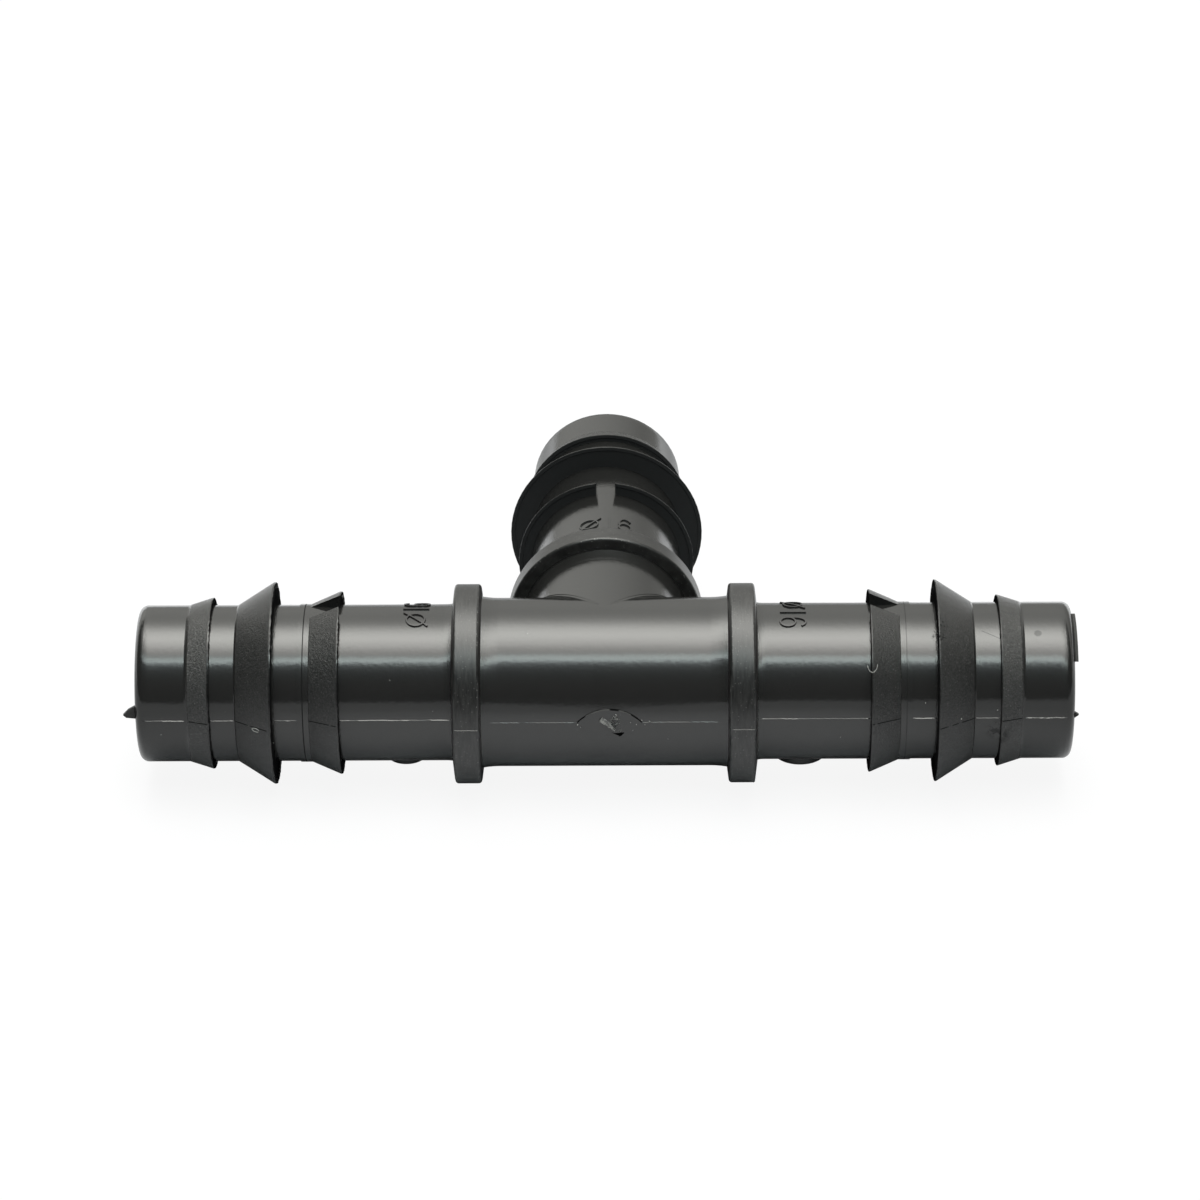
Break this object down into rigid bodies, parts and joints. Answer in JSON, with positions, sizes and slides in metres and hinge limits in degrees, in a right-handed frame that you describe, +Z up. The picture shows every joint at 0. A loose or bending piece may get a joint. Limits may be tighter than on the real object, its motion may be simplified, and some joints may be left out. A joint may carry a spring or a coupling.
{
  "type": "drip line tee",
  "caption": "Barbed tee that joins three ends of 16 mm drip line, with a collar and a row of barbs on each arm.",
  "frame": {"origin": "where the axis of the run crosses the axis of the branch", "axes": "+X along the run towards its right arm, +Y along the branch towards its open end, +Z up, normal to the plane of the three arms"},
  "size_m": [0.0785, 0.047, 0.0169],
  "materials": {
    "tee": "black moulded plastic, polished tubes, satin collars and fine spark texture on the barbs"
  },
  "bodies": {
    "root": {"tee": "tee"}
  },
  "joints": []
}
